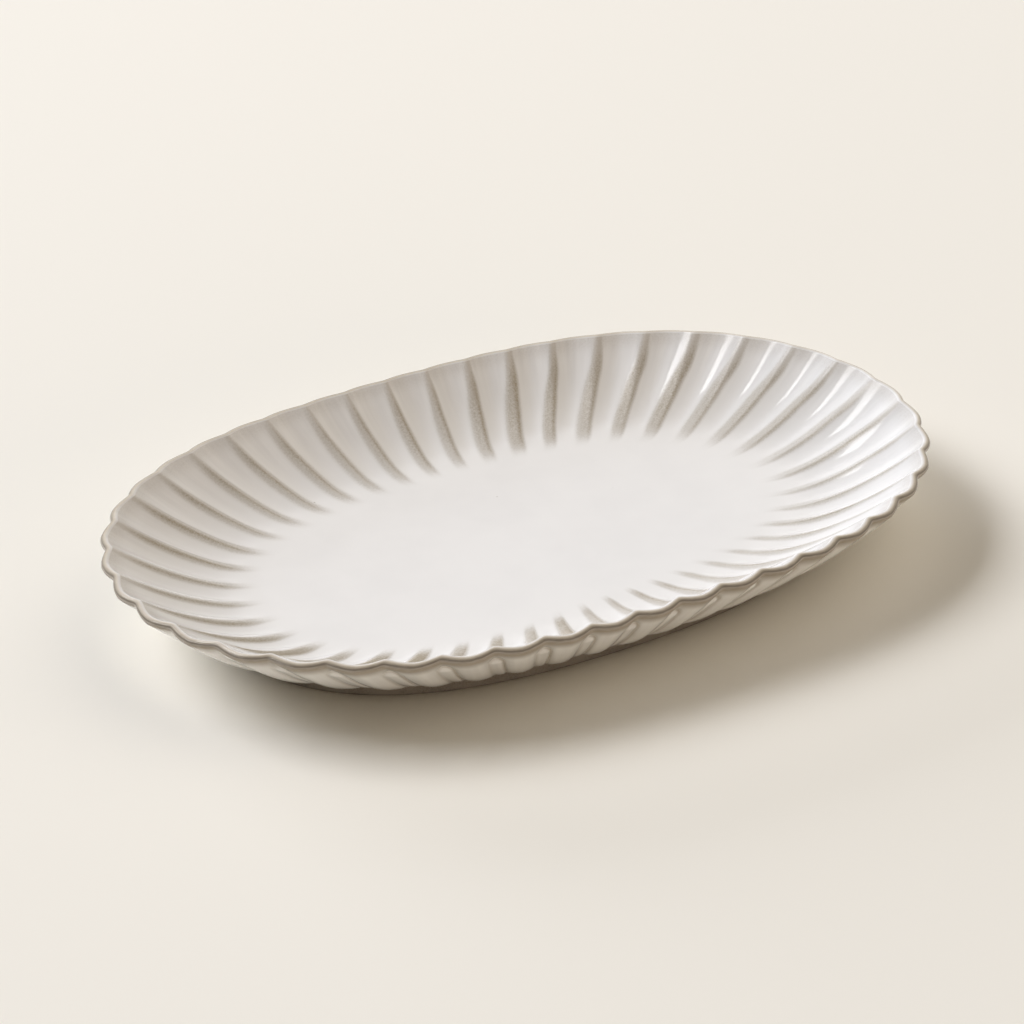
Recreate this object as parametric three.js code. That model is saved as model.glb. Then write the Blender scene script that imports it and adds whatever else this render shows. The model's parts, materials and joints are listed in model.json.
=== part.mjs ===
// A fluted oval serving platter: a stoneware body under a coat of glaze.
// Millimetres, +X along the platter, +Z up, origin on the table under its middle.
import * as THREE from 'three';

// Flutes: a ridge lies on each end of both axes
const FLUTES = 44;
const STEPS_PER_FLUTE = 4;

// Rim, measured to the crest of the lip on a ridge. Of the three pure numbers, the first two say
// how blunt the oval's ends and how flat its sides are, and the third how far its flutes crowd
// away from the ends
const RIM_HALF_LENGTH = 176.2;
const RIM_HALF_WIDTH = 110;
const RIM_BLUNTNESS = 0.042;
const RIM_FLATNESS = 0.094;
const RIM_CROWDING = 0.03;
const RIM_HEIGHT = 37.1;
const RIM_BULGE = 2.3;
const RIM_DIP = 0.9;
const LIP_RADIUS = 1.9;
const LIP_HEIGHT = 3.8;
const LIP_OVERHANG = 0.8;

// Well: the flat floor, whose oval is rounder than the rim's, and the wall sweeping up from it
const WELL_HALF_LENGTH = 115.5;
const WELL_HALF_WIDTH = 66;
const WELL_BLUNTNESS = -0.027;
const WELL_FLATNESS = 0.025;
const WELL_CROWDING = 0.138;
const WELL_DEPTH = 24.9;
const WALL_SWEEP = 1.78;
const WALL_LEVELS = 4;
const TROUGH_DIP = 1.15;

// Heel: the lower end of the outer lobes, above the foot, as a share of the way from well to rim
const HEEL_REACH = 0.36;
const HEEL_HEIGHT = 6.4;
const HEEL_BULGE = 1.6;
const HEEL_DIP = 0.5;
const HEEL_UNDERCUT = 0.8;
const HEEL_ROUND = 0.7;
const OUTSIDE_SWEEP = 1.3;
const OUTSIDE_LEVELS = 2;

// Foot ring and the shallow recess inside it
const FOOT_SETBACK = 1.5;
const FOOT_WIDTH = 7.5;
const FOOT_DRAFT = 0.15;
const RECESS_DEPTH = 4.5;

// Glaze, and the clearance that keeps it a separate solid from the clay
const GLAZE = 0.5;
const BOND_GAP = 0.1;
const BASE_GLAZE_MARGIN = 1.5;
const BASE_COLUMNS = FLUTES * 2;

const COLUMNS = FLUTES * STEPS_PER_FLUTE;
const FLOOR_HEIGHT = RIM_HEIGHT - WELL_DEPTH;

const RIM_OVAL = {
  halfLength: RIM_HALF_LENGTH,
  halfWidth: RIM_HALF_WIDTH,
  bluntness: RIM_BLUNTNESS,
  flatness: RIM_FLATNESS,
  crowding: RIM_CROWDING,
};

const WELL_OVAL = {
  halfLength: WELL_HALF_LENGTH,
  halfWidth: WELL_HALF_WIDTH,
  bluntness: WELL_BLUNTNESS,
  flatness: WELL_FLATNESS,
  crowding: WELL_CROWDING,
};

// A share of the way from one oval, or one level, to another
function between(from, to, share) {
  const mixed = {};
  for (const key of Object.keys(from)) {
    mixed[key] = THREE.MathUtils.lerp(from[key], to[key], share);
  }
  return mixed;
}

// The same distance added all round, for lips, setbacks and the foot
function widen(oval, outward) {
  return { ...oval, halfLength: oval.halfLength + outward, halfWidth: oval.halfWidth + outward };
}

// A level is one closed line round the platter. Its flutes stand out by bulge and sink by dip.
function level(oval, z, bulge = 0, dip = 0) {
  return { ...oval, z, bulge, dip };
}

function grow(base, outward, upward) {
  return { ...widen(base, outward), z: base.z + upward };
}

// 0 on the ridges and 1 in the middle of a flute, so troughs are round and ridges narrow
function fluteWave(share) {
  const across = 2 * (share - Math.floor(share)) - 1;
  return 1 - across * across;
}

function pointOnLevel(at, turn) {
  const angle = turn + at.crowding * Math.sin(2 * turn);
  const alongX = (1 - at.bluntness) * Math.cos(angle) + at.bluntness * Math.cos(3 * angle);
  const alongY = (1 + at.flatness) * Math.sin(angle) + at.flatness * Math.sin(3 * angle);
  const slopeX = -(1 - at.bluntness) * Math.sin(angle) - 3 * at.bluntness * Math.sin(3 * angle);
  const slopeY = (1 + at.flatness) * Math.cos(angle) + 3 * at.flatness * Math.cos(3 * angle);
  const outward = new THREE.Vector2(at.halfWidth * slopeY, -at.halfLength * slopeX).normalize();
  const wave = fluteWave((FLUTES * turn) / (2 * Math.PI));
  return new THREE.Vector3(
    at.halfLength * alongX + outward.x * at.bulge * wave,
    at.halfWidth * alongY + outward.y * at.bulge * wave,
    at.z - at.dip * wave,
  );
}

function ring(at, columns) {
  const points = [];
  for (let column = 0; column < columns; column += 1) {
    points.push(pointOnLevel(at, (2 * Math.PI * column) / columns));
  }
  return points;
}

// Triangles between two rows of points. A turned skin keeps the same diagonals but faces inward.
function bandFaces(row, nextRow, columns, turned = false) {
  const faces = [];
  for (let column = 0; column < columns; column += 1) {
    const next = (column + 1) % columns;
    const [a, b, c, d] = [row + column, row + next, nextRow + column, nextRow + next];
    faces.push(...(turned ? [a, d, c, a, b, d] : [a, c, d, a, d, b]));
  }
  return faces;
}

// Flat disc from a centre point out to a row of points, facing up or, turned, down
function discFaces(centre, row, columns, turned = false) {
  const faces = [];
  for (let column = 0; column < columns; column += 1) {
    const next = (column + 1) % columns;
    faces.push(centre, ...(turned ? [row + next, row + column] : [row + column, row + next]));
  }
  return faces;
}

function skinFaces(levels, start, columns, turned = false) {
  const faces = [];
  for (let step = 0; step < levels.length - 1; step += 1) {
    const row = start + step * columns;
    faces.push(...bandFaces(row, row + columns, columns, turned));
  }
  return faces;
}

function closedGeometry(points, faces) {
  const geometry = new THREE.BufferGeometry().setFromPoints(points);
  geometry.setIndex(faces);
  geometry.computeVertexNormals();
  return geometry;
}

const onAxis = (at) => new THREE.Vector3(0, 0, at.z);

// Solid skinned over a run of levels, closed by a flat disc at its first and its last level
function loft(levels, columns = COLUMNS) {
  const points = levels.flatMap((at) => ring(at, columns));
  const count = points.length;
  points.push(onAxis(levels[0]), onAxis(levels.at(-1)));
  return closedGeometry(points, [
    ...skinFaces(levels, 0, columns),
    ...discFaces(count, 0, columns),
    ...discFaces(count + 1, count - columns, columns, true),
  ]);
}

// Solid between two skins of matching levels, which share a disc each and one free edge
function shell(outside, inside, columns = COLUMNS) {
  const points = [...outside, ...inside].flatMap((at) => ring(at, columns));
  const count = points.length;
  const half = count / 2;
  points.push(onAxis(outside[0]), onAxis(inside[0]));
  return closedGeometry(points, [
    ...skinFaces(outside, 0, columns),
    ...skinFaces(inside, half, columns, true),
    ...bandFaces(half - columns, count - columns, columns),
    ...discFaces(count, 0, columns),
    ...discFaces(count + 1, half, columns, true),
  ]);
}

// Inner wall from the floor to the rim: the flutes start from nothing at the floor
function innerWall() {
  const top = widen(RIM_OVAL, -LIP_RADIUS);
  const levels = [];
  for (let step = 0; step < WALL_LEVELS; step += 1) {
    const up = step / WALL_LEVELS;
    levels.push(level(
      between(WELL_OVAL, top, up),
      FLOOR_HEIGHT + (WELL_DEPTH - LIP_RADIUS) * up ** WALL_SWEEP,
      RIM_BULGE * up ** WALL_SWEEP,
      RIM_DIP * up + 4 * TROUGH_DIP * up * (1 - up),
    ));
  }
  return levels;
}

// Rounded lip over the crest, standing a little proud of the wall below it
function lip() {
  const crest = level(RIM_OVAL, RIM_HEIGHT, RIM_BULGE, RIM_DIP);
  return [
    grow(crest, -LIP_RADIUS, -LIP_RADIUS),
    crest,
    grow(crest, LIP_RADIUS, -LIP_RADIUS),
    grow(crest, LIP_RADIUS, LIP_OVERHANG - LIP_HEIGHT),
  ];
}

// The grooves outside fan out from the heel as the ridges inside do from the well
const HEEL_OVAL = { ...between(WELL_OVAL, RIM_OVAL, HEEL_REACH), crowding: WELL_CROWDING };

// Outside from under the lip down to the heel, turned in under the lobes
function outerWall() {
  const neck = grow(lip().at(-1), -LIP_OVERHANG, -LIP_OVERHANG);
  const heel = level(HEEL_OVAL, HEEL_HEIGHT, HEEL_BULGE, HEEL_DIP);
  const levels = [];
  for (let step = 0; step <= OUTSIDE_LEVELS; step += 1) {
    const up = 1 - step / OUTSIDE_LEVELS;
    const z = heel.z + (neck.z - heel.z) * up ** OUTSIDE_SWEEP;
    levels.push({ ...between(heel, neck, up), z });
  }
  levels.push(grow(heel, -HEEL_UNDERCUT, -HEEL_ROUND));
  return levels;
}

// The run of levels moved into the platter by a depth, square to its own section
function inset(levels, depth) {
  return levels.map((at, index) => {
    const before = levels[Math.max(index - 1, 0)];
    const after = levels[Math.min(index + 1, levels.length - 1)];
    const rise = after.z - before.z;
    const lengthRun = new THREE.Vector2(after.halfLength - before.halfLength, rise).normalize();
    const widthRun = new THREE.Vector2(after.halfWidth - before.halfWidth, rise).normalize();
    return {
      ...at,
      halfLength: at.halfLength + depth * lengthRun.y,
      halfWidth: at.halfWidth + depth * widthRun.y,
      z: at.z - (depth * (lengthRun.x + widthRun.x)) / 2,
    };
  });
}

// Bare foot ring: straight sides with a little draft, a flat sole and the recess inside
function footRing(top) {
  const outside = level(widen(HEEL_OVAL, -FOOT_SETBACK), 0);
  return [
    { ...grow(outside, FOOT_DRAFT, 0), z: top },
    outside,
    grow(outside, -FOOT_WIDTH, 0),
    grow(outside, -FOOT_WIDTH - FOOT_DRAFT, RECESS_DEPTH),
  ];
}

const surface = [...innerWall(), ...lip(), ...outerWall()];

function stonewareBody() {
  const clay = inset(surface, GLAZE + BOND_GAP);
  return loft([...clay, ...footRing(clay.at(-1).z)]);
}

function faceGlaze() {
  return shell(surface, inset(surface, GLAZE));
}

// Thin pool of glaze on the ceiling of the recess, stopping short of the foot ring
function baseGlaze() {
  const ceiling = footRing(0).at(-1);
  const edge = grow(ceiling, -BASE_GLAZE_MARGIN, -BOND_GAP);
  return loft([edge, grow(edge, 0, -GLAZE)], BASE_COLUMNS);
}

function piece(name, geometry, color, roughness) {
  const material = new THREE.MeshStandardMaterial({ color, roughness, metalness: 0 });
  const mesh = new THREE.Mesh(geometry, material);
  mesh.name = name;
  return mesh;
}

const platter = new THREE.Group();
platter.name = 'fluted_oval_platter';
platter.add(
  piece('stoneware_body', stonewareBody(), '#b9a88f', 0.85),
  piece('face_glaze', faceGlaze(), '#e6e3dc', 0.12),
  piece('base_glaze', baseGlaze(), '#dedbd3', 0.15),
);

export default platter;
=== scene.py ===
"""Fluted oval platter: stoneware under an off-white glaze that breaks brown on its ridges.

Run as a script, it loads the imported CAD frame, builds a fine piece for each of the frame's three
solids, and sets up a pale studio round them. Sizes are in metres, in the frame's own axes.
"""

import json
import math
import random
from collections import namedtuple

import bmesh
import bpy
from mathutils import Matrix, Vector


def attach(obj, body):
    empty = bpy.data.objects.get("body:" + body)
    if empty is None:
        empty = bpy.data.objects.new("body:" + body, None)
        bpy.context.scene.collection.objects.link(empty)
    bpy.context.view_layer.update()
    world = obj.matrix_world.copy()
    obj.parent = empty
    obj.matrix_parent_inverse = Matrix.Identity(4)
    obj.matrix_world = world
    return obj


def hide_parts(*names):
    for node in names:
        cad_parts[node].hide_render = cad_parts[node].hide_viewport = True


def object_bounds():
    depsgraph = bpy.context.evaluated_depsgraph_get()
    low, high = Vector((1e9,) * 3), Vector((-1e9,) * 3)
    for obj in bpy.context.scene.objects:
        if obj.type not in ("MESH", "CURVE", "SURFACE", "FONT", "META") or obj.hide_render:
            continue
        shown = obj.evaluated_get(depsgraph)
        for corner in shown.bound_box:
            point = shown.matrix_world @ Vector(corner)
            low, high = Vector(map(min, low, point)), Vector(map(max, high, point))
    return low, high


bl_info = {
    "name": "Fluted Oval Platter",
    "version": (1, 0, 0),
    "blender": (4, 5, 0),
    "location": "3D View > Sidebar > Platter",
    "description": "Builds a glazed, fluted stoneware platter and its studio",
    "category": "Add Mesh",
}

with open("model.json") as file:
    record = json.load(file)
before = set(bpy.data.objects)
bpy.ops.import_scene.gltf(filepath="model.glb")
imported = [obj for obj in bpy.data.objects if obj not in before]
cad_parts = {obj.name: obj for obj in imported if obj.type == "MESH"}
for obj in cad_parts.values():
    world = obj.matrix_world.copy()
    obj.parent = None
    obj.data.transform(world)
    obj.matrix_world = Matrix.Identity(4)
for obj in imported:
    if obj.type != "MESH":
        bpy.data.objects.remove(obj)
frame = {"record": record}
CAD_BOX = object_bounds()
MOUNTS = {mount["name"]: mount["pos_m"] for mount in frame["record"]["mounts"]}

MM = 0.001

# How blunt an oval's ends are, how flat its sides, and how far its flutes crowd away from the ends
RIM_FORM = (0.042, 0.094, 0.03)
WELL_FORM = (-0.027, 0.025, 0.138)

# Columns of the mesh in one flute, drawn together towards the ridges, where the form is finest
FLUTE_COLUMNS = 20
RIDGE_CROWDING = 0.6

# Rows of the mesh: rings on the floor, as shares of its size, then steps up the wall and over the lip
FLOOR_RINGS = (0.0, 0.2, 0.45, 0.68, 0.85, 0.93, 0.97)
WALL_STEPS = 28
LIP_STEPS = 16

# Inner wall: the share of it over which the flutes deepen from nothing, how far round the ridges lean
# at the well, and how softly a ridge turns over, as a share of a flute
FLUTE_START = 0.3
RIDGE_LEAN = math.radians(1.5)
RIDGE_SOFTNESS = 0.06

# Lip: where its round starts inside and ends outside, as turns from straight out
LIP_INSIDE = math.radians(130)
LIP_OUTSIDE = math.radians(5)

# Outside: the neck under the lip, measured from the crest, and how the lobes sweep and belly out below
NECK_OUT = 1.5 * MM
NECK_DROP = 2.7 * MM
OUTSIDE_SWEEP = 1.3
LOBE_BELLY = 0.9 * MM

# Ribs outside: the middle of their arched tops, as a share of the way down to the heel, the factor
# that stretches the arch upwards by being less than 1, and how wide the ribs are
RIB_TOP = 0.215
RIB_ARCH = 0.7
RIB_WIDTH = 1.9 * MM

# Creases beside the ribs: where they start below the neck, their distance from the rib's middle line,
# their width, and how much shallower they are on one side, blended over a short way
CREASE_START = 0.03
CREASE_PLACE = 2.9 * MM
CREASE_WIDTH = 0.9 * MM
CREASE_SIDES = 0.2
CREASE_BLEND = 2 * MM

# Rounding of the lobes' lower ends, in and down, and the tuck behind it
HEEL_IN = 0.8 * MM
HEEL_DOWN = 0.7 * MM
HEEL_TUCK = 0.4 * MM

# Foot: draft of the recess's side, and the round between it and the recess's ceiling
RECESS_DRAFT = 0.15 * MM
RECESS_ROUND = 0.9 * MM

# Clearance between clay and glaze, and the bare margin round the pool of glaze in the recess
BOND_GAP = 0.1 * MM
BASE_GLAZE_MARGIN = 1.3 * MM

# How far in from their edges the recess's ceiling and the pool of glaze have one more ring of mesh
CEILING_RING = 30 * MM
POOL_RING = 20 * MM

# Width of a flute: outside, halfway down, and inside, at the well and at the rim
FLUTE_WIDTH = 18.5 * MM
FLUTE_AT_WELL = 13.4 * MM
FLUTE_AT_RIM = 21 * MM

# Breaks of the glaze over the ridges: half their width halfway up the wall, and how much they lose of
# it towards the rim and towards the floor
BREAK_REACH = 3.6 * MM
BREAK_RIM_TAPER = 1.0 * MM
BREAK_FLOOR_TAPER = 1.2 * MM

# Painted shade along the edge of a break on the ridge's side away from the light: its strength, place as a
# share of the reach, and width
BREAK_SHADE = 0.2
BREAK_SHADE_PLACE = 0.7
BREAK_SHADE_WIDTH = 0.85 * MM

# Strength of the painted shade in the creases outside, and of the darkening just under the rim, which is
# partly thin glaze and partly painted shade
CREASE_SHADE = 0.75
RIM_DARKENING = 0.36

# Places for the colours: how fast the wall's share falls below nothing over the floor, the lip's value
# at the heel, counted from 0 inside the crest to 1 at the neck, its value for the pool under the
# platter, which tints it a little, and the shift of its lines at the back
FLOOR_FALL = 1.6
LIP_AT_HEEL = 11.0
LIP_IN_POOL = 2.0
LIP_BACK_SHIFT = 0.24

# Camera: turn from the front and height over the table in degrees, distance from the middle of the
# rim, and how far it then looks aside and up from there. Lens and sensor are in millimetres
CAMERA_HEADING = (-32.754, 28.136)
CAMERA_DISTANCE = 1.70124
CAMERA_YAW = math.radians(0.1642)
CAMERA_PITCH = math.radians(0.383)
CAMERA_LENS = 147.9
CAMERA_SENSOR = 36.0

# Half the width of the studio floor, and how far it lies below the foot, so that the two don't touch
FLOOR_HALF_WIDTH = 6.0
FLOOR_DROP = 0.05 * MM

# One closed line round the platter. Flutes stand out by bulge and sink by dip. On the outside a rib
# with an arched top runs down each ridge line, in a crease; below is how far under its top a level
# lies. The last three place the glaze's colours.
LEVEL_FIELDS = "length width blunt flat crowd z bulge dip crease rib below wall lip run"
Level = namedtuple("Level", LEVEL_FIELDS, defaults=(0.0,) * 8)


def linear(hex_colour):
    """The linear colour of an sRGB hex value."""
    shares = [int(hex_colour[i : i + 2], 16) / 255 for i in (1, 3, 5)]
    return tuple(c / 12.92 if c <= 0.04045 else ((c + 0.055) / 1.055) ** 2.4 for c in shares) + (1.0,)


def length(name, description, default):
    """A property that holds a length of the platter."""
    return bpy.props.FloatProperty(
        name=name, description=description, default=default, unit="LENGTH", subtype="DISTANCE", precision=5
    )


def colour(name, description, hex_colour):
    """A property that holds a colour of the platter or its stage."""
    return bpy.props.FloatVectorProperty(
        name=name, description=description, default=linear(hex_colour), size=4, subtype="COLOR", min=0, max=1
    )


class PlatterShape(bpy.types.PropertyGroup):
    """Sizes of the platter."""

    flutes: bpy.props.IntProperty(name="Flutes", description="Flutes round the platter", default=44, min=8)
    rim_half_length: length("Rim half length", "From the middle to the rim's crest, lengthwise", 176.2 * MM)
    rim_half_width: length("Rim half width", "From the middle to the rim's crest, crosswise", 110 * MM)
    rim_height: length("Rim height", "Crest of the rim over the table", CAD_BOX[1].z)
    rim_bulge: length("Rim bulge", "How far a flute stands out between two ridges", 2.3 * MM)
    rim_dip: length("Rim dip", "How far the rim sinks between two ridges", 0.9 * MM)
    lip_radius: length("Lip radius", "Radius of the rounded lip", 1.9 * MM)
    well_half_length: length("Well half length", "From the middle to the end of the flat floor", 115.5 * MM)
    well_half_width: length("Well half width", "From the middle to the side of the flat floor", 66 * MM)
    well_floor: length("Well floor", "Flat floor over the table", MOUNTS["well_floor"][2])
    wall_sweep: bpy.props.FloatProperty(
        name="Wall sweep", description="1 is a straight inner wall, more sweeps it up", default=1.78, min=1
    )
    trough_dip: length("Trough dip", "Extra depth of a flute halfway up the wall", 1.5 * MM)
    heel_reach: bpy.props.FloatProperty(
        name="Heel reach",
        description="Heel's share of the way from well to rim",
        default=0.36,
        subtype="FACTOR",
    )
    heel_height: length("Heel height", "Lower end of the outer lobes over the table", 6.4 * MM)
    heel_bulge: length("Heel bulge", "How far the lobes stand out at the heel", 1.6 * MM)
    heel_dip: length("Heel dip", "How far the lobes hang down at the heel", 0.5 * MM)
    crease: length("Crease", "Depth of the creases beside each outer rib", 1.1 * MM)
    rib: length("Rib", "Height of the rib between two outer lobes", 1.4 * MM)
    foot_setback: length("Foot setback", "From the heel in to the foot ring", 1.5 * MM)
    foot_width: length("Foot width", "Width of the sole of the foot ring", 7.5 * MM)
    recess: length("Recess", "Depth of the recess inside the foot ring", 4.5 * MM)
    glaze: length("Glaze", "Thickness of the glaze", 0.5 * MM)


class PlatterFinish(bpy.types.PropertyGroup):
    """Colours of the platter and its stage."""

    glaze_white: colour("Glaze", "Thick glaze on the floor and in the flutes", "#eeece7")
    glaze_grey: colour("Thin glaze", "Glaze where it ran thin down the flutes", "#d5d3cf")
    # Ridge colour: clay showing through on the ridges, and also the colour of the painted shade along the
    # breaks, in the creases outside and under the rim
    ridge_brown: colour("Ridge", "Clay showing through on the ridges", "#968972")
    rim_tan: colour("Crest", "Thin glaze over the crest of the lip", "#c9bda8")
    # Lip edge: thinner glaze beside the lip line; the same brown paints the shade in a thin line in the
    # neck's crease
    lip_brown: colour("Lip edge", "Thinner glaze beside the lip line and at the neck", "#9b907d")
    lip_dark: colour("Lip line", "Clay showing in a line outside the crest", "#786d5c")
    # Lip band: thin glaze on the lip's outer face; below the neck the same tan fades down the lobes as
    # painted shade under the lip
    lip_tan_and_shade: colour("Lip band", "Thin glaze under the lip line", "#a89e90")
    speck_brown: colour("Specks", "Iron specks in the glaze", "#8c7c66")
    clay: colour("Clay", "Bare clay of the foot ring", "#8f887e")
    clay_dark: colour("Clay grog", "Darker grains in the clay", "#6a635a")
    floor: colour("Floor", "Studio floor", "#f1ede1")


def add(tree, kind, inputs=None, **settings):
    """Adds a node; an input is a value to set or another node's socket to link."""
    node = tree.nodes.new(kind)
    for key, value in settings.items():
        setattr(node, key, value)
    for key, value in (inputs or {}).items():
        if isinstance(value, bpy.types.NodeSocket):
            tree.links.new(value, node.inputs[key])
        else:
            node.inputs[key].default_value = value
    return node


def new_material(name):
    """An empty node material, with its tree and its output node."""
    material = bpy.data.materials.new(name)
    material.use_nodes = True
    tree = material.node_tree
    tree.nodes.clear()
    return material, tree, add(tree, "ShaderNodeOutputMaterial")


def between(start, end, share):
    """The level a share of the way from one level to another."""
    return Level(*(a + (b - a) * share for a, b in zip(start, end)))


def widened(level, outward, upward=0.0):
    """The level moved outwards all round, and up."""
    return level._replace(length=level.length + outward, width=level.width + outward, z=level.z + upward)


def smooth(low, high, value):
    """Smooth step from 0 at low to 1 at high."""
    share = min(max((value - low) / (high - low), 0.0), 1.0)
    return share * share * (3 - 2 * share)


def rim_level(shape):
    """The crest of the rim."""
    size = (shape.rim_half_length, shape.rim_half_width)
    return Level(*size, *RIM_FORM, shape.rim_height, shape.rim_bulge, shape.rim_dip)


def well_level(shape):
    """The edge of the flat floor."""
    return Level(shape.well_half_length, shape.well_half_width, *WELL_FORM, shape.well_floor)


def heel_level(shape):
    """The lower end of the outer lobes."""
    return between(well_level(shape), rim_level(shape), shape.heel_reach)._replace(
        crowd=WELL_FORM[2],
        z=shape.heel_height,
        bulge=shape.heel_bulge,
        dip=shape.heel_dip,
        wall=1.0,
        lip=LIP_AT_HEEL,
    )


def on_lip(shape, lean):
    """The crest carried round the lip to a lean, which is a turn from straight out."""
    outward, upward = math.cos(lean), math.sin(lean) - 1
    return widened(rim_level(shape), shape.lip_radius * outward, shape.lip_radius * upward)


def floor_levels(shape):
    """Rings across the flat floor, from the middle out."""
    edge = well_level(shape)
    return [
        edge._replace(length=edge.length * ring, width=edge.width * ring, wall=FLOOR_FALL * (ring - 1))
        for ring in FLOOR_RINGS
    ]


def wall_levels(shape):
    """Inner wall from the floor up to the lip; the flutes start from nothing at the floor."""
    foot = well_level(shape)
    top = on_lip(shape, LIP_INSIDE)
    levels = []
    for step in range(WALL_STEPS):
        up = step / WALL_STEPS
        swept = up**shape.wall_sweep
        trough = shape.rim_dip * up + 4 * shape.trough_dip * up * (1 - up)
        levels.append(
            between(foot, top, up)._replace(
                z=foot.z + (top.z - foot.z) * swept,
                bulge=shape.rim_bulge * swept,
                dip=smooth(0.0, FLUTE_START, up) * trough,
                wall=up,
            )
        )
    return levels


def lip_levels(shape):
    """Rounded lip, from the inner wall over the crest and down its outer face."""
    levels = []
    for step in range(LIP_STEPS + 1):
        share = step / LIP_STEPS
        lean = LIP_INSIDE + (LIP_OUTSIDE - LIP_INSIDE) * share
        levels.append(on_lip(shape, lean)._replace(wall=1.0, lip=share))
    return levels


def outside_levels(shape):
    """Outer lobes from under the lip down to the heel, rounded in towards the foot."""
    neck = widened(rim_level(shape), NECK_OUT, -NECK_DROP)._replace(wall=1.0, lip=1.0)
    heel = heel_level(shape)
    slant = math.hypot(neck.width - heel.width, neck.z - heel.z)
    # Fine steps down past the arched tops of the ribs, then coarse ones to the heel
    steps = [0.018 * step for step in range(17)] + [0.3 + 0.1 * step for step in range(1, 8)]
    levels = []
    for down in steps:
        level = between(neck, heel, down)
        levels.append(
            level._replace(
                z=heel.z + (neck.z - heel.z) * (1 - down) ** OUTSIDE_SWEEP,
                bulge=level.bulge + LOBE_BELLY * math.sin(math.pi * down),
                crease=shape.crease * smooth(0.0, CREASE_START, down),
                rib=shape.rib,
                below=slant * (down - RIB_TOP),
            )
        )
    bottom = levels[-1]
    for turn in (30, 60, 90):
        lean = math.radians(turn)
        levels.append(widened(bottom, -HEEL_IN * (1 - math.cos(lean)), -HEEL_DOWN * math.sin(lean)))
    levels.append(widened(levels[-1], -HEEL_TUCK)._replace(crease=0.0, rib=0.0))
    return levels


def measured(levels):
    """The levels with the length run along the section so far, at its narrow side."""
    run = 0.0
    result = [levels[0]._replace(run=0.0)]
    for before, level in zip(levels, levels[1:]):
        run += math.hypot(level.width - before.width, level.z - before.z)
        result.append(level._replace(run=run))
    return result


def face_levels(shape):
    """The whole glazed face, from the middle of the floor to the turned-in heel."""
    return measured(floor_levels(shape) + wall_levels(shape) + lip_levels(shape) + outside_levels(shape))


def inset(levels, depth):
    """The levels moved into the clay, square to their own section."""
    moved = []
    for index, level in enumerate(levels):
        before = levels[max(index - 1, 0)]
        after = levels[min(index + 1, len(levels) - 1)]
        along = Vector((after.length - before.length, after.z - before.z)).normalized()
        across = Vector((after.width - before.width, after.z - before.z)).normalized()
        moved.append(
            level._replace(
                length=max(level.length + depth * along.y, 0.0),
                width=max(level.width + depth * across.y, 0.0),
                z=level.z - depth * (along.x + across.x) / 2,
            )
        )
    return moved


def thinned(levels):
    """Every fourth level and the last three, for skins that nobody sees."""
    return levels[:-3:4] + levels[-3:]


def foot_level(shape):
    """The outer edge of the foot ring, on the table."""
    return widened(heel_level(shape)._replace(z=0.0, bulge=0.0, dip=0.0), -shape.foot_setback)


def recess_level(shape):
    """The edge of the recess's ceiling, inside the foot ring."""
    return widened(foot_level(shape), -shape.foot_width - RECESS_DRAFT, shape.recess)


def foot_levels(shape):
    """Bare foot ring below the heel: outer side, rounded sole and the recess up to its ceiling."""
    outside = foot_level(shape)
    inside = widened(outside, -shape.foot_width)
    ceiling = recess_level(shape)
    inner_ceiling = widened(ceiling, -CEILING_RING)
    # Points of the section, each a level and how far out and up from it in millimetres
    profile = [(outside, 0.15, 6.0), (outside, 0.1, 3.0), (outside, 0.0, 1.0), (outside, -0.35, 0.35)]
    profile += [(outside, -1.2, 0.0), (inside, 0.8, 0.0), (inside, 0.25, 0.15), (inside, 0.0, 0.6)]
    levels = [widened(base, out * MM, up * MM) for base, out, up in profile]
    levels += [widened(ceiling, 0.0, -RECESS_ROUND), widened(ceiling, -0.25 * MM, -0.25 * MM)]
    levels += [widened(ceiling, -RECESS_ROUND), inner_ceiling]
    return levels + [ceiling._replace(length=0.0, width=0.0)]


def base_glaze_levels(shape):
    """Pool of glaze on the recess's ceiling: its back, its rounded edge and its face."""
    edge = widened(recess_level(shape), -RECESS_ROUND - BASE_GLAZE_MARGIN, -BOND_GAP)
    middle = widened(edge, -POOL_RING)
    centre = edge._replace(length=0.0, width=0.0)
    # Points of the section, each a level, how far out in millimetres, and a share of the thickness
    profile = [(centre, 0.0, 0.0), (middle, 0.0, 0.0), (edge, 0.0, 0.0), (edge, 0.15, 0.3)]
    profile += [(edge, 0.0, 0.75), (edge, -0.5, 1.0), (middle, 0.0, 1.0), (centre, 0.0, 1.0)]
    return [widened(base, out * MM, -shape.glaze * share) for base, out, share in profile]


def turn_of(column, shape):
    """The turn of a mesh column, and its share of the way across its flute."""
    flute, step = divmod(column, FLUTE_COLUMNS)
    share = step / FLUTE_COLUMNS
    share -= RIDGE_CROWDING * math.sin(2 * math.pi * share) / (2 * math.pi)
    return 2 * math.pi * (flute + share) / shape.flutes, share


def past_ridge(share):
    """How far past the nearest ridge a share across a flute lies; less than nothing before it."""
    return share if share < 0.5 else share - 1


def from_rib(level, share):
    """The distance of a point outside from the middle line of the nearest rib."""
    return math.hypot(past_ridge(share) * FLUTE_WIDTH, RIB_ARCH * max(-level.below, 0.0))


def crease_of(level, share):
    """The crease round a rib, deeper on the side where the next lobe tucks under: 1 at its deepest."""
    side = max(-1.0, min(past_ridge(share) * FLUTE_WIDTH / CREASE_BLEND, 1.0))
    depth = 1 - CREASE_SIDES * (1 - side)
    return depth * math.exp(-(((from_rib(level, share) - CREASE_PLACE) / CREASE_WIDTH) ** 2))


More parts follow.
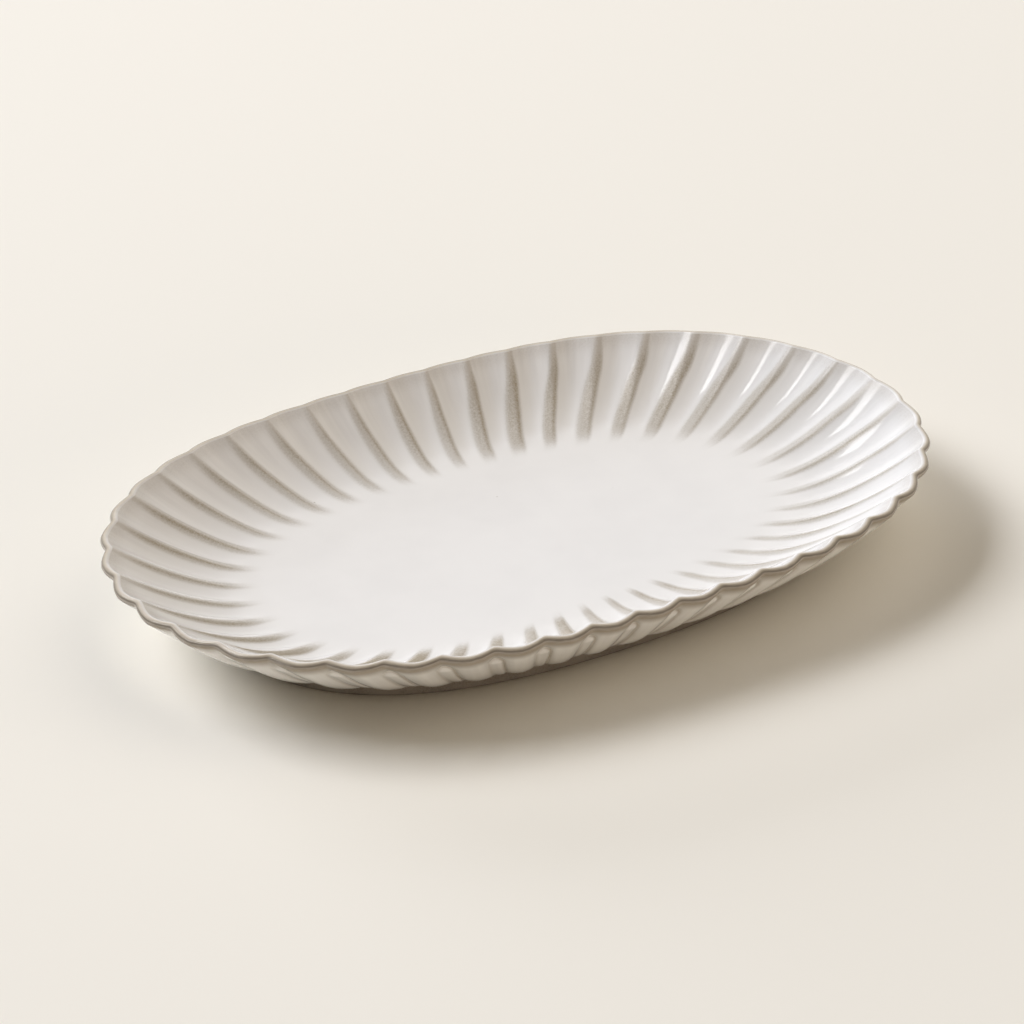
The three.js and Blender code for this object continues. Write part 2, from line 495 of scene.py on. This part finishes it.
def pressed(level, turn, share):
    """A point of a level: the oval, with the flute's wave pressed into it."""
    # Down the inner wall the ridges lean round, by up to a fifth of a flute at the -X end, and least
    # at the +X end and along the front
    lean = RIDGE_LEAN * (0.55 - 0.45 * math.cos(turn) - 0.35 * max(-math.sin(turn), 0.0) ** 4)
    lean *= 1 - smooth(-0.1, 0.7, level.wall)
    angle = turn + lean + level.crowd * math.sin(2 * turn)
    east = (1 - level.blunt) * math.cos(angle) + level.blunt * math.cos(3 * angle)
    north = (1 + level.flat) * math.sin(angle) + level.flat * math.sin(3 * angle)
    east_slope = -(1 - level.blunt) * math.sin(angle) - 3 * level.blunt * math.sin(3 * angle)
    north_slope = (1 + level.flat) * math.cos(angle) + 3 * level.flat * math.cos(3 * angle)
    outward = Vector((level.width * north_slope, -level.length * east_slope))
    if outward.length > 0:
        outward.normalize()
    soft = math.hypot(past_ridge(share), RIDGE_SOFTNESS) - RIDGE_SOFTNESS
    wave = 4 * soft * (1 - soft)
    out = level.bulge * wave + level.rib * math.exp(-((from_rib(level, share) / RIB_WIDTH) ** 2))
    out -= level.crease * crease_of(level, share)
    x = level.length * east + outward.x * out
    y = level.width * north + outward.y * out
    return Vector((x, y, level.z - level.dip * wave))


def wrapped(name, levels, shape, colours=None):
    """A closed skin: a flat grid with a row for each level is wrapped round and pressed to shape."""
    columns = shape.flutes * FLUTE_COLUMNS
    rows = len(levels) - 1
    bm = bmesh.new()
    bmesh.ops.create_grid(bm, x_segments=columns, y_segments=rows, size=1.0)
    flute_map = bm.loops.layers.uv.new("flutes")
    layers = {key: bm.verts.layers.float.new(key) for key in (colours or {})}
    turns = [turn_of(column, shape) for column in range(columns + 1)]
    for vert in bm.verts:
        column = round((vert.co.x + 1) / 2 * columns)
        level = levels[round((vert.co.y + 1) / 2 * rows)]
        turn, share = turns[column]
        vert.co = pressed(level, turn, share)
        for key, layer in layers.items():
            vert[layer] = colours[key](level, column // FLUTE_COLUMNS % shape.flutes, share)
        for loop in vert.link_loops:
            loop[flute_map].uv = (turn * shape.flutes / (2 * math.pi), level.run)
    bmesh.ops.remove_doubles(bm, verts=bm.verts, dist=0.001 * MM)
    bmesh.ops.recalc_face_normals(bm, faces=bm.faces)
    for face in bm.faces:
        face.smooth = True
    mesh = bpy.data.meshes.new(name)
    bm.to_mesh(mesh)
    bm.free()
    piece = bpy.data.objects.new(name, mesh)
    bpy.context.scene.collection.objects.link(piece)
    return piece


def fitted(piece, node, material):
    """Hands a finished piece to the frame in place of a CAD node."""
    piece.data.materials.append(material)
    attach(piece, "root")
    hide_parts(node)


def break_middle(turn, up):
    """How far round from its ridge the middle of a break lies, as a share of a flute."""
    # Near the rim the swing moves the break onto the ridge's shaded side, so that there its colour also
    # paints the shade; lower down it follows the break's own offset
    swing = math.sin(2 * turn) * (0.06 - 0.1 * smooth(0.3, 0.85, up))
    mid_wall = smooth(0.0, 0.3, up) * (1 - smooth(0.6, 0.85, up))
    return swing + 0.08 * mid_wall * max(math.cos(turn - math.radians(20)), 0.0)


def break_reach(turn, up):
    """Half the width of a break: it tapers to the rim and, at the ends and the front, to the floor."""
    pointed = max(math.cos(turn) ** 2, -math.sin(turn)) * (1 - smooth(-0.1, 0.3, up))
    return BREAK_REACH - BREAK_RIM_TAPER * smooth(0.5, 0.95, up) - BREAK_FLOOR_TAPER * pointed


def break_fade(turn, up):
    """How far a break has set in above the floor and faded again below the rim."""
    east, front = math.cos(turn), max(-math.sin(turn), 0.0)
    # Breaks start higher up the wall at the ends and at the front left, and lower along the front
    start = (0.1 if east < 0 else 0.04) * east**2 + 0.24 * front * max(-east, 0.0)
    set_in = smooth(start - 0.16 - 0.1 * front, start + 0.18 - 0.24 * front, up)
    return set_in * (0.85 + 0.15 * smooth(0.1, 0.45, up) - 0.32 * smooth(0.75, 1.0, up))


def break_depth(turn):
    """How bare a break is, by its turn: barest across the line from the back left to the front right, a
    little less towards the back left, much less towards the front right, and barer along the front."""
    toward_back_left = math.cos(turn - math.radians(130))
    return 0.8 - (0.17 if toward_back_left > 0 else 0.38) * abs(toward_back_left) + 0.22 * max(-math.sin(turn), 0.0)


def break_and_shade_strength(shape):
    """How far the glaze has thinned over each ridge, by level, flute and share across it, together with the
    painted shade along the breaks, in the creases outside and under the rim.
    """
    wobble = random.Random(11)
    ridges = [(wobble.uniform(0.9, 1.05), wobble.uniform(0.9, 1.1)) for _ in range(shape.flutes)]

    def strength(level, flute, share):
        # Outside, the creases beside the ribs are darkened: painted shade
        if level.lip > 0:
            return CREASE_SHADE * level.crease / shape.crease * crease_of(level, share)
        flute = flute if share < 0.5 else (flute + 1) % shape.flutes
        gain, widening = ridges[flute]
        turn = 2 * math.pi * flute / shape.flutes
        across = FLUTE_AT_WELL + (FLUTE_AT_RIM - FLUTE_AT_WELL) * level.wall
        off = across * (past_ridge(share) - break_middle(turn, level.wall))
        reach = break_reach(turn, level.wall) * widening
        broad = break_depth(turn) * math.exp(-((off / reach) ** 4))
        # Painted shade: a darker line along the edge of the break on the ridge's side away from the light
        off_shade = off + BREAK_SHADE_PLACE * reach * math.sin(turn + math.radians(49))
        edge_shade = BREAK_SHADE * math.exp(-((off_shade / BREAK_SHADE_WIDTH) ** 2))
        # Just under the rim the whole wall darkens: partly thin glaze, and partly painted shade under the
        # lip
        rim_darkening = RIM_DARKENING * smooth(0.84, 1.0, level.wall)
        return max(gain * break_fade(turn, level.wall) * (broad + edge_shade), rim_darkening)

    return strength


def lip_place(shape):
    """How far out over the lip a point lies, for the lip's colours, which lie farther in at the back."""

    def place(level, flute, share):
        turn = 2 * math.pi * (flute + share) / shape.flutes
        on_top = smooth(0.0, 0.15, level.lip) * (1 - smooth(0.7, 1.0, level.lip))
        return level.lip + LIP_BACK_SHIFT * max(math.sin(turn), 0.0) * on_top

    return place


def milky_glaze(tree, finish, flutes, wall, clouds):
    """The glaze's own colour: white, with clouds, and grey in the runs where it is thin up the wall."""
    # Runs of glaze down the wall: about a sixth of a flute wide and 40 mm long
    runs_map = add(tree, "ShaderNodeMapping", {"Vector": flutes, "Scale": (6.0, 25.0, 1.0)})
    runs = add(tree, "ShaderNodeTexNoise", {"Vector": runs_map.outputs[0], "Scale": 1.0, "Detail": 3.0})
    run_share = add(
        tree,
        "ShaderNodeMapRange",
        {"Value": runs.outputs["Fac"], "From Min": 0.35, "From Max": 0.75, "To Max": 1.0},
    )
    up_share = add(
        tree,
        "ShaderNodeMapRange",
        {"Value": wall, "From Min": 0.45, "From Max": 1.0, "To Max": 0.48},
        interpolation_type="SMOOTHSTEP",
    )
    run_grey = add(
        tree, "ShaderNodeMath", {0: run_share.outputs[0], 1: up_share.outputs[0]}, operation="MULTIPLY"
    )
    cloud_grey = add(
        tree, "ShaderNodeMapRange", {"Value": clouds, "From Min": 0.4, "From Max": 0.7, "To Max": 0.12}
    )
    greys = add(tree, "ShaderNodeMath", {0: run_grey.outputs[0], 1: cloud_grey.outputs[0]}, operation="ADD")
    white = add(
        tree,
        "ShaderNodeMix",
        {0: greys.outputs[0], 6: tuple(finish.glaze_white), 7: tuple(finish.glaze_grey)},
        data_type="RGBA",
    )
    return white.outputs[2]


def broken_and_shaded_share(tree, place, thin):
    """How much clay shows through where the glaze has thinned, and how much painted shade lies along the
    breaks, in the creases and under the rim, mottled by the break's grain.
    """
    # Grain of the break: grains of about 0.8 mm
    grain = add(
        tree, "ShaderNodeTexNoise", {"Vector": place, "Scale": 1300.0, "Detail": 2.0, "Roughness": 0.7}
    )
    gain = add(
        tree,
        "ShaderNodeMapRange",
        {"Value": grain.outputs["Fac"], "From Min": 0.3, "From Max": 0.7, "To Min": 0.78, "To Max": 1.12},
    )
    mottled = add(tree, "ShaderNodeMath", {0: thin, 1: gain.outputs[0]}, operation="MULTIPLY")
    share = add(
        tree,
        "ShaderNodeMapRange",
        {"Value": mottled.outputs[0], "From Min": 0.0, "From Max": 1.1, "To Max": 1.0},
        interpolation_type="SMOOTHSTEP",
    )
    return share.outputs[0]


def banded_lip(tree, finish, flutes, lip, under):
    """The lip's lines over the colour under them: a light tan crest, a brown that darkens to a line, a tan
    band, and a second, thin line in the crease at the neck, which is painted shade; below it the tan fades
    out down the lobes as painted shade under the lip."""
    # Brushed streaks, some 3 mm long and 0.3 mm wide, unsettle the lines
    brush_map = add(tree, "ShaderNodeMapping", {"Vector": flutes, "Scale": (6.0, 3000.0, 1.0)})
    brush = add(tree, "ShaderNodeTexNoise", {"Vector": brush_map.outputs[0], "Scale": 1.0, "Detail": 2.0})
    brushed = add(
        tree,
        "ShaderNodeMapRange",
        {"Value": brush.outputs["Fac"], "From Min": 0.25, "From Max": 0.75, "To Min": -0.05, "To Max": 0.05},
    )
    along_lip = add(tree, "ShaderNodeMath", {0: lip, 1: brushed.outputs[0]}, operation="ADD")
    over_lip = add(tree, "ShaderNodeMapRange", {"Value": along_lip.outputs[0], "From Max": 1.6})
    bands = add(tree, "ShaderNodeValToRGB", {"Fac": over_lip.outputs[0]})
    stops = (
        (0.1, finish.rim_tan),
        (0.28, finish.rim_tan),
        (0.41, finish.lip_brown),
        (0.465, finish.lip_dark),
        (0.51, finish.lip_dark),
        (0.57, finish.lip_tan_and_shade),
        (0.61, finish.lip_tan_and_shade),
        # A thin line in the neck's crease: painted shade
        (0.63, finish.lip_brown),
        (0.7, finish.lip_tan_and_shade),
    )
    ramp = bands.color_ramp.elements
    ramp[0].position, ramp[0].color = stops[0]
    ramp[1].position, ramp[1].color = stops[-1]
    for position, tone in stops[1:-1]:
        ramp.new(position).color = tone
    fade_in = add(
        tree,
        "ShaderNodeMapRange",
        {"Value": lip, "From Min": 0.08, "From Max": 0.55, "To Max": 0.96},
        interpolation_type="SMOOTHSTEP",
    )
    # Below the neck the tan fades out down the lobes: painted shade under the lip
    shade_below_neck = add(
        tree,
        "ShaderNodeMapRange",
        {"Value": lip, "From Min": 0.95, "From Max": 2.5, "To Min": 1.0, "To Max": 0.0},
        interpolation_type="SMOOTHSTEP",
    )
    share = add(
        tree, "ShaderNodeMath", {0: fade_in.outputs[0], 1: shade_below_neck.outputs[0]}, operation="MULTIPLY"
    )
    banded = add(
        tree,
        "ShaderNodeMix",
        {0: share.outputs[0], 6: under, 7: bands.outputs["Color"]},
        data_type="RGBA",
    )
    return banded.outputs[2]


def specked(tree, finish, place, under):
    """Iron specks over the colour under them: pin points of about 0.4 mm, some 25 mm apart."""
    specks = add(tree, "ShaderNodeTexVoronoi", {"Vector": place, "Scale": 40.0})
    fall = {"From Min": 0.008, "From Max": 0.02, "To Min": 0.5, "To Max": 0.0}
    share = add(tree, "ShaderNodeMapRange", {"Value": specks.outputs["Distance"], **fall})
    mixed = add(
        tree,
        "ShaderNodeMix",
        {0: share.outputs[0], 6: under, 7: tuple(finish.speck_brown)},
        data_type="RGBA",
    )
    return mixed.outputs[2]


def glaze_material(finish):
    """Reactive stoneware glaze, poured and fired glossy: a milky white that runs thin up the wall, breaks to
    a grainy taupe on the ridges and leaves tan and brown lines on the lip. The same taupe and tan also paint
    the shade along one edge of each break, in the creases outside, under the rim and under the lip."""
    material, tree, output = new_material("Reactive stoneware glaze")
    flutes = add(tree, "ShaderNodeUVMap", uv_map="flutes").outputs["UV"]
    place = add(tree, "ShaderNodeTexCoord").outputs["Object"]
    thin, lip, wall = (
        add(tree, "ShaderNodeAttribute", attribute_name=name).outputs["Fac"]
        for name in ("thin", "lip", "wall")
    )
    # Clouds in the glaze: patches of about 25 mm
    clouds = add(tree, "ShaderNodeTexNoise", {"Vector": place, "Scale": 40.0, "Detail": 2.0}).outputs["Fac"]
    white = milky_glaze(tree, finish, flutes, wall, clouds)
    bare_and_shaded = broken_and_shaded_share(tree, place, thin)
    ridged_and_shaded = add(
        tree, "ShaderNodeMix", {0: bare_and_shaded, 6: white, 7: tuple(finish.ridge_brown)}, data_type="RGBA"
    )
    banded = banded_lip(tree, finish, flutes, lip, ridged_and_shaded.outputs[2])
    rough = add(tree, "ShaderNodeMapRange", {"Value": bare_and_shaded, "To Min": 0.08, "To Max": 0.5})
    bump = add(tree, "ShaderNodeBump", {"Height": clouds, "Strength": 0.08, "Distance": 0.4 * MM})
    shader = add(
        tree,
        "ShaderNodeBsdfPrincipled",
        {
            "Base Color": specked(tree, finish, place, banded),
            "Roughness": rough.outputs[0],
            "Normal": bump.outputs[0],
            "IOR": 1.5,
        },
    )
    tree.links.new(shader.outputs[0], output.inputs["Surface"])
    return material


def clay_material(finish):
    """Bare fired stoneware, wiped with a sponge: matt, grey-brown, with darker grains and fine pits."""
    material, tree, output = new_material("Bare fired stoneware")
    place = add(tree, "ShaderNodeTexCoord").outputs["Object"]
    # Grog: grains of about 0.7 mm in clouds of about 15 mm
    grog = add(
        tree, "ShaderNodeTexNoise", {"Vector": place, "Scale": 1400.0, "Detail": 3.0, "Roughness": 0.65}
    ).outputs["Fac"]
    cloud = add(tree, "ShaderNodeTexNoise", {"Vector": place, "Scale": 65.0, "Detail": 2.0}).outputs["Fac"]
    speckle = add(tree, "ShaderNodeMath", {0: grog, 1: cloud}, operation="MULTIPLY")
    share = add(
        tree,
        "ShaderNodeMapRange",
        {"Value": speckle.outputs[0], "From Min": 0.22, "From Max": 0.42, "To Max": 0.75},
    )
    tone = add(
        tree,
        "ShaderNodeMix",
        {0: share.outputs[0], 6: tuple(finish.clay), 7: tuple(finish.clay_dark)},
        data_type="RGBA",
    )
    bump = add(tree, "ShaderNodeBump", {"Height": grog, "Strength": 0.35, "Distance": 0.15 * MM})
    rough = add(tree, "ShaderNodeMapRange", {"Value": cloud, "To Min": 0.78, "To Max": 0.95})
    shader = add(
        tree,
        "ShaderNodeBsdfPrincipled",
        {"Base Color": tone.outputs[2], "Roughness": rough.outputs[0], "Normal": bump.outputs[0]},
    )
    tree.links.new(shader.outputs[0], output.inputs["Surface"])
    return material


def paper_material(finish):
    """Pale matt studio paper, with hardly any sheen."""
    material, tree, output = new_material("Matt studio paper")
    shader = add(
        tree,
        "ShaderNodeBsdfPrincipled",
        {"Base Color": tuple(finish.floor), "Roughness": 0.9, "Specular IOR Level": 0.1},
    )
    tree.links.new(shader.outputs[0], output.inputs["Surface"])
    return material


def shared_glaze(finish):
    """The one glaze of the face and the base."""
    return bpy.data.materials.get("Reactive stoneware glaze") or glaze_material(finish)


class PLATTER_OT_stoneware_body(bpy.types.Operator):
    """Builds the clay body with its bare foot ring."""

    bl_idname = "platter.stoneware_body"
    bl_label = "Stoneware Body"

    def execute(self, context):
        shape = context.scene.platter_shape
        clay = thinned(inset(face_levels(shape), shape.glaze + BOND_GAP))
        body = wrapped("Stoneware_body", measured(clay + foot_levels(shape)), shape)
        fitted(body, "stoneware_body", clay_material(context.scene.platter_finish))
        return {"FINISHED"}


class PLATTER_OT_face_glaze(bpy.types.Operator):
    """Builds the coat of glaze over the face, the lip and the outer lobes."""

    bl_idname = "platter.face_glaze"
    bl_label = "Face Glaze"

    def execute(self, context):
        shape = context.scene.platter_shape
        face = face_levels(shape)
        back = thinned(inset(face, shape.glaze))[::-1]
        colours = {
            "thin": break_and_shade_strength(shape),
            "lip": lip_place(shape),
            "wall": lambda level, flute, share: level.wall,
        }
        coat = wrapped("Face_glaze", face + back, shape, colours)
        fitted(coat, "face_glaze", shared_glaze(context.scene.platter_finish))
        return {"FINISHED"}


class PLATTER_OT_base_glaze(bpy.types.Operator):
    """Builds the pool of glaze on the ceiling of the recess under the platter."""

    bl_idname = "platter.base_glaze"
    bl_label = "Base Glaze"

    def execute(self, context):
        shape = context.scene.platter_shape
        levels = measured(base_glaze_levels(shape))
        pool = wrapped("Base_glaze", levels, shape, {"lip": lambda level, flute, share: LIP_IN_POOL})
        fitted(pool, "base_glaze", shared_glaze(context.scene.platter_finish))
        return {"FINISHED"}


def heading_to(turn, height):
    """The direction to a point at a turn from the front and a height over the table, both in degrees."""
    turn, height = math.radians(turn), math.radians(height)
    along = math.cos(height)
    return Vector((math.sin(turn) * along, -math.cos(turn) * along, math.sin(height)))


def softbox(name, heading, distance, size, energy, tint, reflected=False):
    """A lamp of a width and a height that faces the middle of the table, out of the camera's sight.
    It either lights the platter or, reflected, only shows in its gloss."""
    light = bpy.data.lights.new(name, "AREA")
    light.shape = "RECTANGLE"
    light.size, light.size_y = size
    light.energy = energy
    light.color = linear(tint)[:3]
    lamp = bpy.data.objects.new(name, light)
    lamp.location = heading_to(*heading) * distance
    lamp.rotation_euler = lamp.location.to_track_quat("Z", "Y").to_euler()
    lamp.visible_camera = False
    lamp.visible_glossy = reflected
    lamp.visible_diffuse = not reflected
    bpy.context.scene.collection.objects.link(lamp)


def studio_lamps():
    """Two windows behind give the light and the soft shadow, and two warm fills open it. A small
    softbox makes the glints on the right wall, and a strip the light line along the rim."""
    softbox("Window", (-139, 43), 7.5, (5.5, 3.2), 544.0, "#f4f6ff")
    softbox("Low_window", (-172, 13), 8.0, (4.3, 2.5), 360.0, "#eef2ff")
    softbox("Side_fill", (82, 50), 7.0, (9.0, 7.0), 265.0, "#fff6ec")
    softbox("Front_fill", (5, 9.5), 8.0, (5.0, 2.6), 122.0, "#ffe7d2")
    softbox("Glint", (-146, 62), 3.0, (1.5, 0.5), 15.0, "#ffffff", reflected=True)
    softbox("Rim_strip", (-118, 42), 3.0, (4.4, 0.25), 34.0, "#ffffff", reflected=True)


def studio_world():
    """A pale backdrop for the camera and for reflections, which hardly lights the platter."""
    world = bpy.data.worlds.new("Studio")
    world.use_nodes = True
    tree = world.node_tree
    tree.nodes.clear()
    path = add(tree, "ShaderNodeLightPath").outputs
    rays = path["Is Camera Ray"]
    for kind in ("Is Glossy Ray", "Is Transmission Ray"):
        rays = add(tree, "ShaderNodeMath", {0: rays, 1: path[kind]}, operation="MAXIMUM").outputs[0]
    fill = add(tree, "ShaderNodeBackground", {"Color": linear("#f2e3d0"), "Strength": 0.02})
    seen = add(tree, "ShaderNodeBackground", {"Color": linear("#f5f0e7"), "Strength": 1.0})
    mixed = add(tree, "ShaderNodeMixShader", {0: rays, 1: fill.outputs[0], 2: seen.outputs[0]})
    add(tree, "ShaderNodeOutputWorld", {"Surface": mixed.outputs[0]})
    return world


def photo_camera(target):
    """The photograph's view of a point: a long lens, 1.7 m away."""
    back = heading_to(*CAMERA_HEADING)
    right = Vector((-back.y, back.x, 0.0)).normalized()
    up = back.cross(right)
    side = right * math.cos(CAMERA_YAW) - back * math.sin(CAMERA_YAW)
    yawed = right * math.sin(CAMERA_YAW) + back * math.cos(CAMERA_YAW)
    top = up * math.cos(CAMERA_PITCH) - yawed * math.sin(CAMERA_PITCH)
    away = up * math.sin(CAMERA_PITCH) + yawed * math.cos(CAMERA_PITCH)
    lens = bpy.data.cameras.new("Camera")
    lens.sensor_width = CAMERA_SENSOR
    lens.lens = CAMERA_LENS
    lens.clip_end = 50.0
    camera = bpy.data.objects.new("Camera", lens)
    turned = Matrix((side, top, away)).transposed().to_4x4()
    camera.matrix_world = Matrix.Translation(back * CAMERA_DISTANCE + target) @ turned
    return camera


class PLATTER_OT_stage(bpy.types.Operator):
    """Sets up the pale floor, the soft light and the camera."""

    bl_idname = "platter.stage"
    bl_label = "Stage"

    def execute(self, context):
        scene = context.scene
        bm = bmesh.new()
        bmesh.ops.create_grid(bm, x_segments=8, y_segments=8, size=FLOOR_HALF_WIDTH)
        bmesh.ops.translate(bm, verts=bm.verts, vec=(0.0, 0.0, -FLOOR_DROP))
        mesh = bpy.data.meshes.new("Floor")
        bm.to_mesh(mesh)
        bm.free()
        mesh.materials.append(paper_material(scene.platter_finish))
        floor = bpy.data.objects.new("Floor", mesh)
        scene.collection.objects.link(floor)
        scene.world = studio_world()
        studio_lamps()
        camera = photo_camera(Vector((0.0, 0.0, scene.platter_shape.rim_height)))
        scene.collection.objects.link(camera)
        scene.camera = camera
        scene.view_settings.view_transform = "Standard"
        return {"FINISHED"}


class PLATTER_PT_panel(bpy.types.Panel):
    """Lists the platter's sizes, colours and steps."""

    bl_idname = "PLATTER_PT_panel"
    bl_label = "Fluted Oval Platter"
    bl_space_type = "VIEW_3D"
    bl_region_type = "UI"
    bl_category = "Platter"

    def draw(self, context):
        for group in (context.scene.platter_shape, context.scene.platter_finish):
            box = self.layout.box()
            for key in group.bl_rna.properties.keys():
                if key not in ("rna_type", "name"):
                    box.prop(group, key)
        for operator in OPERATORS:
            self.layout.operator(operator.bl_idname)


OPERATORS = (PLATTER_OT_stoneware_body, PLATTER_OT_face_glaze, PLATTER_OT_base_glaze, PLATTER_OT_stage)
CLASSES = (PlatterShape, PlatterFinish, *OPERATORS, PLATTER_PT_panel)


def register():
    """Registers the classes and hangs the two groups on the scene."""
    for cls in CLASSES:
        bpy.utils.register_class(cls)
    bpy.types.Scene.platter_shape = bpy.props.PointerProperty(type=PlatterShape)
    bpy.types.Scene.platter_finish = bpy.props.PointerProperty(type=PlatterFinish)


def unregister():
    """Takes everything back out."""
    del bpy.types.Scene.platter_finish
    del bpy.types.Scene.platter_shape
    for cls in reversed(CLASSES):
        bpy.utils.unregister_class(cls)


def main():
    """Builds the platter and its stage."""
    register()
    bpy.ops.platter.stoneware_body()
    bpy.ops.platter.face_glaze()
    bpy.ops.platter.base_glaze()
    bpy.ops.platter.stage()


if __name__ == "__main__":
    main()
